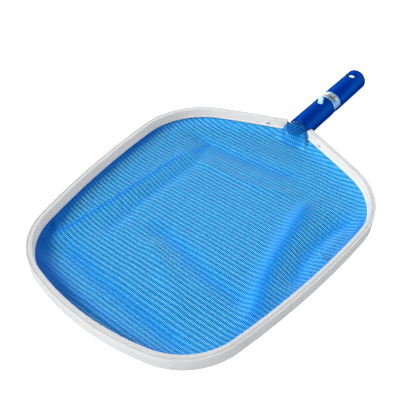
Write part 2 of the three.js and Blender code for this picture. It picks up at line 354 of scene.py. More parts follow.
def net_cloth():
    """Open woven nylon: threads both ways with holes between them, really see-through.

    The mesh carries four attributes: cut, where each point was on the flat cloth in
    millimetres; layers, 1 where the cloth lies folded on itself; a painted-shade attribute, 1
    where painted shade darkens the cloth and closes its holes beside the hoop; and stretch, 1
    where it is pulled tight over the yoke so that the holes open.
    """
    r = Recipe("net_cloth")
    cut = r.node("Attribute", attribute_name="cut")["Vector"]
    layers = r.node("Attribute", attribute_name="layers")["Fac"]
    # Painted shade: the cloth is darkened, and its holes closed, where the hoop's walls would
    # shade it.
    painted_shade = r.node("Attribute", attribute_name="painted_shade")["Fac"]
    stretch = r.node("Attribute", attribute_name="stretch")["Fac"]
    x, y, _ = r.node("SeparateXYZ", {0: cut})
    wander = r.noise(cut, 0.05, 2.0)
    x = r.math("ADD", x, r.math("MULTIPLY", r.math("SUBTRACT", wander, 0.5), WANDER_X))
    drift = r.noise(r.scaled(cut, (1.0, 0.8, 1.0)), 0.04, 2.0)
    y = r.math("ADD", y, r.math("MULTIPLY", r.math("SUBTRACT", drift, 0.5), WANDER_Y))

    pitch = r.range(stretch, 0.0, 0.3, ROW_PITCH, TIGHT_ROW_PITCH)
    along = r.math("ADD", r.math("DIVIDE", y, pitch), 0.5)
    across = r.math("DIVIDE", x, HOLE_PITCH)

    def from_hole(phase):
        """0 in the middle of a hole, 1 in the middle of a thread."""
        return r.math("MULTIPLY", r.math("ABSOLUTE", r.math(
            "SUBTRACT", r.math("FRACT", phase), 0.5)), 2.0)

    warp = from_hole(across)
    weft = from_hole(along)
    reach_x = r.range(stretch, 0.0, 1.0, 0.30, 0.70)
    reach_y = r.range(stretch, 0.0, 1.0, 0.32, 0.76)
    beyond = r.math("MAXIMUM", r.math("SUBTRACT", warp, reach_x),
                    r.math("SUBTRACT", weft, reach_y))
    gap = r.range(beyond, -0.10, 0.06, 1.0, 0.0, smooth=True)

    # Holes nearly close where the cloth is folded or in painted shade, and open where it is tight.
    close = r.math("MAXIMUM", layers, painted_shade)
    hole = r.math("MULTIPLY", gap, r.range(close, 0.0, 0.8, 1.0, 0.02))
    hole = r.math("MULTIPLY", hole, r.range(stretch, 0.0, 1.0, 0.38, 0.97), clamp=True)

    mottle = r.noise(cut, 0.018, 4.0, 0.6)
    streaks = r.noise(r.scaled(cut, (0.02, 0.35, 1.0)), 1.0, 3.0, 0.6)
    fibre = r.noise(cut, 2.2, 2.0)
    # Tone, from 0 where the cloth is deep blue to 1 where it is pale: rows, the threads between
    # the holes along them, then stretch, fibre and streaks.
    row = r.math("COSINE", r.math("MULTIPLY", y, 2 * math.pi / ROW_PITCH))
    ticks = r.math("COSINE", r.math("MULTIPLY", r.math("ADD", across, 0.5), 2 * math.pi))
    tone = r.math("ADD", r.range(row, -1.0, 1.0, 0.22, 0.75),
                  r.math("MULTIPLY", ticks, 0.80))
    tone = r.math("SUBTRACT", tone, r.math("MULTIPLY", stretch, 0.22))
    tone = r.math("ADD", tone, r.spread(fibre, -0.06, 0.06))
    tone = r.math("ADD", tone, r.spread(streaks, -0.08, 0.08), clamp=True)
    deep = r.mix(r.spread(mottle), colour(0.001, 0.026, 0.33), colour(0.001, 0.038, 0.39))
    base = r.mix(tone, deep, colour(0.035, 0.575, 0.94))
    folded = r.mix(tone, colour(0.002, 0.14, 0.66), colour(0.008, 0.30, 0.94))
    base = r.mix(r.math("MULTIPLY", layers, 0.85), base, folded)
    # Painted shade: a deep navy beside the hoop, where its walls would cast their shadow on the
    # cloth.
    base = r.mix(r.math("MULTIPLY", painted_shade, 0.90), base, colour(0.001, 0.090, 0.48))

    height = r.math("MULTIPLY", r.math("POWER", warp, 0.7), r.math("POWER", weft, 0.7))
    normal = r.bump(height, 0.00025, 0.7)

    thread = r.principled(Base_Color=base, Roughness=0.45, Normal=normal,
                          Specular_IOR_Level=0.12, Specular_Tint=colour(0.2, 0.6, 1.0))
    glow = r.node("BsdfTranslucent", {"Color": base, "Normal": normal})[0]
    glow_share = 0.15
    cloth = r.node("MixShader", {0: glow_share, 1: thread, 2: glow})[0]
    clear = r.node("BsdfTransparent")[0]
    return r.done(r.node("MixShader", {0: hole, 1: cloth, 2: clear})[0])


def moulded_blue(name, dark, bright, roughness, grain):
    """Blue injection-moulded plastic: flow mottling, a fine grain, scuffs and a blue gloss."""
    r = Recipe(name)
    place = r.here()
    flow = r.noise(r.scaled(place, (1.0, 0.35, 1.0)), 0.06, 4.0, 0.6)
    base = r.mix(r.spread(flow), dark, bright)
    scuff_field = r.noise(r.scaled(place, (0.9, 0.08, 0.9)), 0.9, 4.0, 0.65)
    scuffs = r.range(scuff_field, 0.62, 0.74)
    base = r.mix(r.math("MULTIPLY", scuffs, 0.12), base, colour(0.0, 0.08, 0.42))
    rough = r.math("ADD", r.spread(r.noise(place, 0.15, 3.0),
                                  roughness - 0.05, roughness + 0.06),
                   r.math("MULTIPLY", scuffs, 0.15))
    normal = r.bump(r.noise(place, 1.6, 3.0), 0.00008, grain)
    body = r.principled(Base_Color=base, Roughness=rough, Normal=normal,
                        Specular_IOR_Level=0.0)
    gloss = r.node("BsdfAnisotropic", {
        "Color": colour(0.01, 0.30, 1.0), "Roughness": r.math("MULTIPLY", rough, 0.8),
        "Normal": normal})[0]
    gloss_share = 0.055
    return r.done(r.node("MixShader", {0: gloss_share, 1: body, 2: gloss})[0])


def clip_nylon():
    """Pale, slightly see-through nylon with a soft skin."""
    r = Recipe("clip_nylon")
    place = r.here()
    tone = r.spread(r.noise(place, 0.25, 3.0))
    base = r.mix(tone, colour(0.40, 0.66, 0.84), colour(0.50, 0.74, 0.89))
    return r.done(r.principled(
        Base_Color=base, Roughness=0.38, Subsurface_Weight=0.35, Subsurface_Scale=0.002,
        Normal=r.bump(r.noise(place, 1.4, 2.0), 0.00006)))


def rivet_metal(name, bright, dull):
    """Dull metal with a fine grain and a little oxide."""
    r = Recipe(name)
    place = r.here()
    oxide = r.range(r.noise(place, 0.8, 4.0, 0.7), 0.45, 0.7)
    base = r.mix(oxide, bright, dull)
    rough = r.spread(r.noise(place, 1.5, 3.0), 0.35, 0.55)
    return r.done(r.principled(Base_Color=base, Metallic=0.85, Roughness=rough,
                               Normal=r.bump(r.noise(place, 2.5, 2.0), 0.0001)))


def label_foil():
    """Printed foil: a pale border round a panel of plain waves. UV runs 0 to 1 both ways."""
    r = Recipe("label_foil")
    u, v, _ = r.node("SeparateXYZ", {0: r.node("UVMap")[0]})
    side = r.math("ABSOLUTE", r.math("SUBTRACT", v, 0.5))
    end = r.math("ABSOLUTE", r.math("SUBTRACT", u, 0.5))
    border = r.math("MAXIMUM", r.range(side, 0.38, 0.40), r.range(end, 0.475, 0.48))
    plain = r.range(end, 0.27, 0.31)

    def wave(height, swing, turns, shift, half):
        """1 along a printed wave line."""
        centre = r.math("ADD", height, r.math("MULTIPLY", swing, r.math(
            "SINE", r.math("ADD", r.math("MULTIPLY", u, turns * 2 * math.pi), shift))))
        distance = r.math("ABSOLUTE", r.math("SUBTRACT", v, centre))
        return r.range(distance, half, half - 0.02, smooth=True)

    place = r.here()
    grain = r.noise(place, 0.8, 3.0)
    panel = r.mix(r.spread(grain), colour(0.10, 0.20, 0.24), colour(0.18, 0.31, 0.35))
    panel = r.mix(wave(0.62, 0.12, 7.0, 0.0, 0.10), panel, colour(0.46, 0.56, 0.48))
    panel = r.mix(wave(0.42, 0.13, 6.0, 1.3, 0.09), panel, colour(0.03, 0.02, 0.025))
    panel = r.mix(wave(0.33, 0.10, 5.0, 2.1, 0.05), panel, colour(0.30, 0.10, 0.08))
    panel = r.mix(plain, panel, colour(0.05, 0.19, 0.40))
    base = r.mix(border, panel, colour(0.16, 0.40, 0.62))
    return r.done(r.principled(
        Base_Color=base, Metallic=0.2, Roughness=0.38,
        Normal=r.bump(r.noise(place, 0.5, 2.0), 0.00008), Coat_Weight=0.3,
        Coat_Roughness=0.12))


def studio_floor():
    """Pale seamless paper with a little glow of its own, so that shadows stay faint."""
    r = Recipe("studio_floor")
    fibres = r.noise(r.here(), 0.02, 4.0)
    base = r.mix(r.spread(fibres), colour(0.88, 0.88, 0.88), colour(0.90, 0.90, 0.90))
    return r.done(r.principled(Base_Color=base, Roughness=0.9, Specular_IOR_Level=0.1,
                               Emission_Color=colour(1, 1, 1), Emission_Strength=0.75))


POWDER_COAT = powder_coat()
NET_CLOTH = net_cloth()
HANDLE_BLUE = moulded_blue(
    "handle_blue", colour(0.0, 0.018, 0.235), colour(0.0, 0.021, 0.260), 0.32, 0.5)
YOKE_BLUE = moulded_blue(
    "yoke_blue", colour(0.0, 0.008, 0.07), colour(0.0, 0.012, 0.10), 0.45, 0.9)
CLIP_NYLON = clip_nylon()
RIVET_METAL = rivet_metal("rivet_metal", colour(0.80, 0.81, 0.82), colour(0.62, 0.63, 0.64))
RIVET_PIN = rivet_metal("rivet_pin", colour(0.42, 0.425, 0.43), colour(0.24, 0.245, 0.25))

# ---------------------------------------------------------------- the hoop


def hoop_stations(spacing=4.0, degrees=1.5):
    """(x, y, heading) round the whole hoop's outer line, from the left cut end to the right.

    Neighbours are at most this many millimetres and this many degrees of turn apart.
    """
    x, y, heading = 0.0, HOOP_FRONT_Y, 0.0
    half = [(x, y, heading)]
    for radius, sweep_degrees in HOOP_ARCS:
        angle = math.radians(sweep_degrees)
        steps = math.ceil(max(radius * angle / spacing, sweep_degrees / degrees))
        for _ in range(steps):
            turned = heading + angle / steps
            x += radius * (math.sin(turned) - math.sin(heading))
            y -= radius * (math.cos(turned) - math.cos(heading))
            heading = turned
            half.append((x, y, heading))
    other_half = [(-x, y, -heading) for x, y, heading in reversed(half[1:])]
    return other_half + half


def on_hoop(point, station):
    """A point u inwards from the hoop's outer face and v above its underside."""
    u, v = point[0], point[1]
    x, y, heading = station
    return (x - u * math.sin(heading), y + u * math.cos(heading), v)


def make_hoop():
    """The hollow extrusion: (u, v, corner radius) round its section and round its chamber."""
    section = fillet([
        (0, 0, 0.6), (6.5, 0, 0.35), (6.5, SLOT_LOW, 0.3), (3.0, SLOT_LOW, 0.1),
        (3.0, SLOT_HIGH, 0.1), (7.2, SLOT_HIGH, 0.3), (7.2, 4.9, 0.5), (6.5, 5.7, 0.5),
        (6.5, HOOP_HEIGHT, 0.9), (2.7, HOOP_HEIGHT, 0.3), (2.4, HOOP_HEIGHT - 0.55, 0.3),
        (1.9, HOOP_HEIGHT - 0.55, 0.3), (1.6, HOOP_HEIGHT, 0.3), (0, HOOP_HEIGHT, 0.45)])
    chamber = fillet([(1.5, 5.4, 0.4), (1.5, 12.8, 0.4), (5.2, 12.8, 0.4), (5.2, 5.4, 0.4)])
    points, faces = sweep([section, chamber], hoop_stations(), on_hoop)
    hoop = make_mesh("hoop", points, faces)
    return dress(hoop, SKIMMER, "hoop", POWDER_COAT, "frame_hoop")


SPLINE_RADIUS = 1.05
SPLINE_U, SPLINE_V = 4.37, 2.55


def make_spline():
    """The round cord that holds the cloth's edge in the slot."""
    circle = [(SPLINE_U + SPLINE_RADIUS * math.cos(a), SPLINE_V + SPLINE_RADIUS * math.sin(a))
              for a in (2 * math.pi * k / 16 for k in range(16))]
    spline = make_mesh("spline", *sweep([circle], hoop_stations(5.0, 2.0), on_hoop))
    return dress(spline, SKIMMER, "spline", cord_vinyl(), "net_spline")


make_hoop()
make_spline()

# ---------------------------------------------------------------- the net

# The mesh runs in square rings round a middle point, out to the cloth's edge.
NET_CENTRE = np.array([0.0, -8.0])
RINGS = 120
RING_POWER = 0.92

# The cloth's edge in the hoop's slot, and the tray that it hangs in from there.
NET_U = 5.5
NET_EDGE_Z = 2.55
NET_DEPTH = 9.0
NET_WALL = 8.0

# The tongue's end over the yoke, and how much closer the points are set round it.
NECK_END_Y = TUBE_FROM - 1.1
NECK_REACH = 14.2
NECK_CROWD, NECK_CROWD_REACH = 4, 30

# The cloth over the yoke: its clearance, where it leaves the nose, and how steeply it comes
# away from the nose and from the knuckle.
YOKE_CLEAR = 0.45
NOSE_KNEE, NOSE_SLOPE = 0.90, 3.4
KNUCKLE_SLOPE = 2.6

# How wide the painted shade is beside the hoop, at the back and left, and at the front and right.
PAINTED_SHADE_SIDE, PAINTED_SHADE_NEAR = 6.8, 21.0

# How far in from the slot the folds come in, and then the broad swell and the fine ripple of
# the loose cloth, with their heights and sizes.
FOLDS_FROM, LOOSE_FROM = 6, 12
SWELL_HEIGHT, SWELL_SIZE = 0.7, 55
RIPPLE_HEIGHT, RIPPLE_X, RIPPLE_Y = 0.28, 40, 14


def segment_distance(points, line):
    """For each point: distance to a polyline, which side it is on, and how far along, 0 to 1."""
    starts, ends = line[:-1], line[1:]
    spans = ends - starts
    lengths = np.linalg.norm(spans, axis=1)
    run = np.concatenate([[0], np.cumsum(lengths)])
    best = np.full(len(points), 1e9)
    side = np.zeros(len(points))
    along = np.zeros(len(points))
    for k in range(len(starts)):
        offset = points - starts[k]
        t = np.clip(offset @ spans[k] / lengths[k] ** 2, 0, 1)
        distance = np.linalg.norm(offset - t[:, None] * spans[k], axis=1)
        nearer = distance < best
        cross = spans[k][0] * offset[:, 1] - spans[k][1] * offset[:, 0]
        best[nearer] = distance[nearer]
        side[nearer] = np.sign(cross[nearer])
        along[nearer] = ((run[k] + t * lengths[k]) / run[-1])[nearer]
    return best, side, along


def smooth_line(knots, steps=10):
    """A Catmull-Rom curve through (x, y) knots."""
    k = np.array(knots, float)
    k = np.vstack([2 * k[0] - k[1], k, 2 * k[-1] - k[-2]])
    curve = []
    for i in range(1, len(k) - 2):
        for t in np.arange(steps) / steps:
            curve.append(0.5 * (2 * k[i] + (k[i + 1] - k[i - 1]) * t
                                + (2 * k[i - 1] - 5 * k[i] + 4 * k[i + 1] - k[i + 2]) * t ** 2
                                + (3 * k[i] - k[i - 1] - 3 * k[i + 1] + k[i + 2]) * t ** 3))
    curve.append(k[-2])
    return np.array(curve)


# Folds in the cloth: the knots of a line, height in mm (negative for a valley), half-width on
# the left and right of the line as it runs, and how far the cloth is doubled and how widely.
FOLDS = (
    dict(knots=((-86, 92), (-92, 50), (-96, 0), (-100, -50), (-104, -95), (-112, -158)),
         height=4.4, left=11.0, right=2.2, doubled=1.0, band=3.6),
    dict(knots=((-72, 100), (-72, 60), (-74, 20), (-76, -20), (-74, -70), (-70, -100)),
         height=-3.2, left=9.0, right=8.0, doubled=0.25, band=7.0),
    dict(knots=((-82, 108), (-80, 92), (-84, 70)),
         height=-1.5, left=7.0, right=7.0, doubled=0.7, band=6.5),
    dict(knots=((70, 100), (80, 45), (88, 0), (97, -35), (107, -62), (118, -100)),
         height=5.2, left=15.0, right=9.0, doubled=0.72, band=9.5),
    dict(knots=((124, 104), (113, 55), (114, 5), (126, -36)),
         height=-5.0, left=10.0, right=11.0, doubled=0.55, band=8.0),
    dict(knots=((-122, 104), (-50, 102), (0, 107), (58, 121)),
         height=-3.0, left=11.0, right=11.0, doubled=0.36, band=8.0),
    dict(knots=((-104, 70), (-40, 68), (10, 72), (66, 90)),
         height=2.0, left=6.0, right=6.0, doubled=0.08, band=4.0),
    dict(knots=((-50, -44), (10, -54), (50, -65), (92, -69), (114, -80)),
         height=-3.4, left=9.0, right=13.0, doubled=0.42, band=9.0),
    dict(knots=((-34, -60), (20, -92), (66, -120)),
         height=2.2, left=9.0, right=9.0, doubled=0.05, band=5.0),
    dict(knots=((-112, -122), (-30, -134), (20, -138), (104, -145)),
         height=-3.0, left=11.0, right=11.0, doubled=0.50, band=10.0),
    dict(knots=((-120, -150), (-40, -162), (40, -164), (110, -160)),
         height=2.6, left=7.0, right=9.0, doubled=0.30, band=6.0),
    dict(knots=((120, 28), (131, 22), (139, 16)),
         height=2.8, left=4.0, right=5.0, doubled=0.3, band=2.6),
    dict(knots=((-130, -104), (-118, -114), (-100, -119)),
         height=2.2, left=4.0, right=3.5, doubled=0.7, band=3.0),
    dict(knots=((131, 102), (136, 82), (138, 58), (137, 30)),
         height=1.4, left=3.0, right=3.0, doubled=0.8, band=3.0),
)

# The share of a fold's line, at each end, over which it fades.
FOLD_TAPER = 0.18


def smooth_step(t):
    """Eases from 0 to 1 as t does, and holds there."""
    t = np.clip(t, 0, 1)
    return t * t * (3 - 2 * t)


def fold_field(points, fold):
    """Height and doubling that one fold adds at each point."""
    distance, side, along = segment_distance(points, smooth_line(fold["knots"]))
    width = np.where(side > 0, fold["left"], fold["right"])
    taper = smooth_step(np.minimum(along, 1 - along) / FOLD_TAPER)
    height = fold["height"] * np.exp(-(distance / width) ** 2) * taper
    doubled = fold["doubled"] * np.exp(-(distance / fold["band"]) ** 2) * taper
    return height, doubled


def net_outline(count):
    """Points round the cloth's edge: in the hoop's slot, then over the yoke's nose."""
    slot = slot_line(3.0, 2.0)
    middle = len(slot) // 2
    neck_x = np.linspace(NECK_REACH, -NECK_REACH, 41)
    neck = np.column_stack([neck_x, np.full(len(neck_x), NECK_END_Y)])
    loop = np.vstack([slot[middle:], neck, slot[:middle + 1]])
    spans = np.linalg.norm(np.diff(loop, axis=0), axis=1)
    mid_y = (loop[1:, 1] + loop[:-1, 1]) / 2
    mid_x = (loop[1:, 0] + loop[:-1, 0]) / 2
    near_neck = np.exp(-((mid_x ** 2 + (mid_y - NECK_END_Y) ** 2) / NECK_CROWD_REACH ** 2))
    run = np.concatenate([[0], np.cumsum(spans * (1 + NECK_CROWD * near_neck))])
    at = np.linspace(0, run[-1], count, endpoint=False)
    return np.column_stack([np.interp(at, run, loop[:, 0]), np.interp(at, run, loop[:, 1])])


def from_nose_axis(x, y):
    """0 on top of the yoke's nose, 1 at its foot, and more beyond it."""
    run = np.clip((NOSE_TIP_Y + NOSE_LENGTH - y) / (NOSE_LENGTH + YOKE_CLEAR), 0, None)
    return np.sqrt(run ** 2 + (x / (NOSE_RADIUS + YOKE_CLEAR)) ** 2)


def yoke_height(x, y):
    """How high the cloth must go to clear the yoke's nose and knuckle, falling off round them."""
    rho = from_nose_axis(x, y)
    cap = np.sqrt(1 - np.minimum(rho, NOSE_KNEE) ** 2)
    fall = NOSE_SLOPE * np.maximum(rho - NOSE_KNEE, 0)
    nose = AXIS_Z + (NOSE_RADIUS + YOKE_CLEAR) * (cap - fall)
    beside = np.maximum(np.abs(x) - KNUCKLE_HALF, KNUCKLE_FROM - y)
    knuckle_top = CHAMBER_MIDDLE + ARM_HALF + YOKE_CLEAR
    return smooth_max(nose, knuckle_top - KNUCKLE_SLOPE * np.maximum(beside, 0), 2.0)


def smooth_max(a, b, reach):
    """The larger of two heights, with a fillet where they meet."""
    overlap = np.clip(0.5 + 0.5 * (a - b) / reach, 0, 1)
    return b + (a - b) * overlap + reach * overlap * (1 - overlap)


def slot_line(spacing, degrees):
    """The line in the hoop's slot that holds the cloth's edge."""
    stations = hoop_stations(spacing, degrees)
    return np.array([on_hoop((NET_U, 0), station)[:2] for station in stations])


def painted_shade_field(x, y, rim):
    """Painted shade on the cloth, 0 to 1: beside the hoop, and in a ring round the yoke's nose.

    The painted shade stands in for the shadow of the hoop's walls. It is widest at the front and
    the right, weaker on the right and nearly gone at the back. rim is each point's distance from
    the slot.
    """
    near = smooth_step(np.maximum((-y - 70) / 90, (x - 70) / 50))
    width = PAINTED_SHADE_SIDE + (PAINTED_SHADE_NEAR - PAINTED_SHADE_SIDE) * near
    leftward = np.clip(0.5 - x / 100, 0.45, 1)
    rearward = np.clip((y - 60) / 70, 0, 1)
    painted_shade = np.exp(-(rim / width) ** 3) * leftward * (1 - 0.9 * rearward)
    ring = 0.6 * np.exp(-((from_nose_axis(x, y) - 1.30) / 0.26) ** 2)
    return np.maximum(painted_shade, ring)


def net_heights(points):
    """Height of the cloth at each (x, y), how far it is doubled, its painted shade, and its
    stretch.
    """
    rim = segment_distance(points, slot_line(6.0, 4.0))[0]
    x, y = points[:, 0], points[:, 1]
    z = NET_EDGE_Z - NET_DEPTH * (1 - np.exp(-rim / NET_WALL))
    loose = 1 - np.exp(-(rim / LOOSE_FROM) ** 2)
    doubled = np.zeros(len(points))
    for fold in FOLDS:
        height, layers = fold_field(points, fold)
        z += height * np.minimum(1, rim / FOLDS_FROM)
        doubled = np.maximum(doubled, layers)
    swell = np.array([noise.noise((px / SWELL_SIZE, py / SWELL_SIZE, 3.0))
                      for px, py in points])
    ripple = np.array([noise.noise((px / RIPPLE_X, py / RIPPLE_Y, 9.0)) for px, py in points])
    z += loose * (SWELL_HEIGHT * swell + RIPPLE_HEIGHT * ripple)
    stretched = np.clip((1.14 - from_nose_axis(x, y)) / 0.14, 0, 1)
    return smooth_max(yoke_height(x, y), z, 3.0), doubled, painted_shade_field(x, y, rim), stretched


def square_ring(i, j):
    """How far round its square ring, 0 to 1 from the middle of the front, a grid point is."""
    ring = np.maximum(np.abs(i), np.abs(j))
    turn = np.zeros(ring.shape)
    front = j == -ring
    rear = (j == ring) & ~front
    right = (i == ring) & ~front & ~rear
    left = (i == -ring) & ~front & ~rear
    turn[front] = np.where(i[front] >= 0, i[front], 8 * ring[front] + i[front])
    turn[right] = 2 * ring[right] + j[right]
    turn[rear] = 4 * ring[rear] - i[rear]
    turn[left] = 6 * ring[left] - j[left]
    return ring, turn / np.maximum(8 * ring, 1)


def flat_lengths(points, z):
    """Where each point was on the flat cloth, measured along the cloth each way.

    The lengths are counted from x = 0 and y = 0, over a grid that reaches past the cloth's
    edge. Near the yoke's nose they are shortened across, as the threads are drawn together.
    """
    step = 1.0
    half_x, front, rear = 150, -190, 185
    gathered, gather_to, gather_over = 0.45, 1.9, 0.9
    xs = np.arange(-half_x, half_x + 1, step)
    ys = np.arange(front, rear + 1, step)
    grid = np.array([(gx, gy) for gy in ys for gx in xs])
    heights = net_heights(grid)[0].reshape(len(ys), len(xs))
    along_x = np.concatenate([np.zeros((len(ys), 1)), np.cumsum(
        np.hypot(step, np.diff(heights, axis=1)), axis=1)], axis=1)
    along_y = np.concatenate([np.zeros((1, len(xs))), np.cumsum(
        np.hypot(step, np.diff(heights, axis=0)), axis=0)], axis=0)
    along_x -= along_x[:, [len(xs) // 2]]
    along_y -= along_y[[int(-front / step)], :]

    def sample(field):
        fx = np.clip((points[:, 0] - xs[0]) / step, 0, len(xs) - 1.001)
        fy = np.clip((points[:, 1] - ys[0]) / step, 0, len(ys) - 1.001)
        ix, iy = fx.astype(int), fy.astype(int)
        tx, ty = fx - ix, fy - iy
        return ((field[iy, ix] * (1 - tx) + field[iy, ix + 1] * tx) * (1 - ty)
                + (field[iy + 1, ix] * (1 - tx) + field[iy + 1, ix + 1] * tx) * ty)

    from_nose = from_nose_axis(points[:, 0], points[:, 1])
    drawn = np.clip((gather_to - from_nose) / gather_over, 0, 1)
    return np.column_stack([sample(along_x) * (1 - gathered * drawn), sample(along_y), z])


def make_net():
    """The whole cloth as one mesh, with the attributes that its material reads."""
    side = np.arange(-RINGS, RINGS + 1)
    i, j = (g.ravel() for g in np.meshgrid(side, side))
    ring, turn = square_ring(i, j)
    count = 8 * RINGS
    outline = net_outline(count)
    outline = np.vstack([outline, outline[:1]])
    at = turn * count
    edge = np.column_stack([np.interp(at, np.arange(count + 1), outline[:, k]) for k in (0, 1)])
    share = (ring / RINGS)[:, None] ** RING_POWER
    points = NET_CENTRE + share * (edge - NET_CENTRE)
    z, doubled, painted_shade, stretched = net_heights(points)
    width = len(side)
    faces = [(a, a + 1, a + width + 1, a + width)
             for row in range(width - 1) for a in range(row * width, row * width + width - 1)]
    net = make_mesh("net", np.column_stack([points, z]), faces, 180)
    cut = flat_lengths(points, z)
    net.data.attributes.new("cut", "FLOAT_VECTOR", "POINT").data.foreach_set(
        "vector", cut.astype(np.float32).ravel())
    for attribute, values in (("layers", doubled), ("painted_shade", painted_shade), ("stretch", stretched)):
        net.data.attributes.new(attribute, "FLOAT", "POINT").data.foreach_set(
            "value", values.astype(np.float32))
    return dress(net, SKIMMER, "net", NET_CLOTH, "net_mesh", "net_tongue")


net = make_net()

# ---------------------------------------------------------------- handle

BUTTON_HOLE_RADIUS = 3.55
HANGING_HOLE_RADIUS, HANGING_HOLE_Y = 4.2, 309.2
NOTCH_HALF, NOTCH_DEPTH = 3.9, 3.4


def make_tube():
    """The tube, with a recess for the label, both pairs of holes and notches for the arms."""
    label_low, label_high = box_mm("label_sticker")
    recess, ease, bevel = 13.8, 0.35, 0.8
    low, high = label_low.y - ease, label_high.y + ease
    profile = [
        (BORE_RADIUS, TUBE_FROM + 0.4), (BORE_RADIUS + 0.3, TUBE_FROM),
        (TUBE_RADIUS - 0.4, TUBE_FROM), (TUBE_RADIUS, TUBE_FROM + 0.4),
        (TUBE_RADIUS, low), (recess, low + 0.15), (recess, high - 0.15), (TUBE_RADIUS, high),
        (TUBE_RADIUS, TUBE_TO - bevel), (TUBE_RADIUS - 0.25, TUBE_TO - 0.3),
        (TUBE_RADIUS - bevel, TUBE_TO), (BORE_RADIUS + 0.3, TUBE_TO),
        (BORE_RADIUS, TUBE_TO - 0.4)]
    body = lathe(profile, (0, 0, AXIS_Z), (0, 1, 0), 128)
    reach = 2 * TUBE_RADIUS

    def upright(radius, y):
        return lathe([(0, -reach), (radius, -reach), (radius, reach), (0, reach)],
                     (0, y, AXIS_Z), (0, 0, 1), 64)

    notch = box_mesh((-reach, TUBE_FROM - 1, CHAMBER_MIDDLE - NOTCH_HALF),
                     (reach, TUBE_FROM + NOTCH_DEPTH, CHAMBER_MIDDLE + NOTCH_HALF))
    tube = combine("tube", body, removed=(
        upright(BUTTON_HOLE_RADIUS, BUTTON_Y), upright(HANGING_HOLE_RADIUS, HANGING_HOLE_Y),
        notch))
    bevelled = tube.modifiers.new("bevel", "BEVEL")
    bevelled.width, bevelled.segments, bevelled.limit_method = 0.25 * MM, 2, "ANGLE"
    bevelled.angle_limit = math.radians(50)
    apply_modifiers(tube)
    finish_mesh(tube.data, 35)
    return dress(tube, SKIMMER, "handle", HANDLE_BLUE, "handle_tube")


make_tube()

# ---------------------------------------------------------------- yoke and rivets

SHOULDER_Y = TUBE_FROM - 0.35
SPIGOT_RADIUS, SPIGOT_END = 11.5, 190.0
SPIGOT_BORE, SPIGOT_FLOOR = 9.3, 180.0

# An arm is placed by a point on the hoop, back from its cut end, and reaches both ways from it.
ARM_FROM_END, ARM_BACK, ARM_FORWARD = 22.0, 22.0, 24.6
ARM_THICKNESS = 3.0
SHANK_RADIUS, HEAD_RADIUS, RIVET_HOLE = 1.55, 2.3, 1.9
RIVET_FROM_END, RIVET_V = 24.0, 8.6
RIVET_TAIL, RIVET_SEAT, HEAD_HEIGHT = -0.32, 6.82, 0.8


def on_shoulder(from_end):
    """The hoop's station at a distance in from its right-hand cut end."""
    x, y, heading = hoop_stations()[-1]
    radius = HOOP_ARCS[-1][0]
    earlier = heading - from_end / radius
    return (x - radius * (math.sin(heading) - math.sin(earlier)),
            y + radius * (math.cos(heading) - math.cos(earlier)), earlier)


def mirror(points):
    return [(-p[0], p[1], p[2]) for p in points]


def rivet_axis():
    """A point on the right-hand rivet's axis, at the hoop's outer face, and its direction."""
    x, y, heading = on_shoulder(RIVET_FROM_END)
    return (x, y, RIVET_V), (-math.sin(heading), math.cos(heading), 0)


def make_yoke():
    """One moulding: the nose and spigot, the knuckle, and an arm inside each end of the hoop."""
    start = [(NOSE_RADIUS * math.sin(a), NOSE_TIP_Y + NOSE_LENGTH * (1 - math.cos(a)))
             for a in (math.pi / 2 * k / 16 for k in range(17))]
    spigot = [(NOSE_RADIUS, SHOULDER_Y), (SPIGOT_RADIUS, SHOULDER_Y),
              (SPIGOT_RADIUS, SPIGOT_END), (SPIGOT_BORE, SPIGOT_END),
              (SPIGOT_BORE, SPIGOT_FLOOR), (0, SPIGOT_FLOOR)]
    body = lathe(start + spigot, (0, 0, AXIS_Z), (0, 1, 0), 96)
    knuckle = box_mesh((-KNUCKLE_HALF, KNUCKLE_FROM, CHAMBER_MIDDLE - ARM_HALF),
                       (KNUCKLE_HALF, SHOULDER_Y, CHAMBER_MIDDLE + ARM_HALF))
    x, y, heading = on_shoulder(ARM_FROM_END)
    along = Vector((math.cos(heading), math.sin(heading), 0))
    inward = Vector((-math.sin(heading), math.cos(heading), 0))
    middle = Vector((x, y, CHAMBER_MIDDLE)) + inward * CHAMBER_U
    points, faces = box_mesh((-ARM_BACK, -ARM_THICKNESS / 2, -ARM_HALF),
                             (ARM_FORWARD, ARM_THICKNESS / 2, ARM_HALF))
    arm = [middle + along * p[0] + inward * p[1] + Vector((0, 0, p[2])) for p in points]
    place, axis = rivet_axis()
    hole = lathe([(0, -5), (RIVET_HOLE, -5), (RIVET_HOLE, 12), (0, 12)], place, axis, 32)
    yoke = combine("yoke_moulding", body,
                   joined=(knuckle, (arm, faces), (mirror(arm), faces)),
                   removed=(hole, (mirror(hole[0]), hole[1])))
    soften(yoke, 0.42, 3)
    dress(yoke, SKIMMER, "yoke", YOKE_BLUE, "yoke")


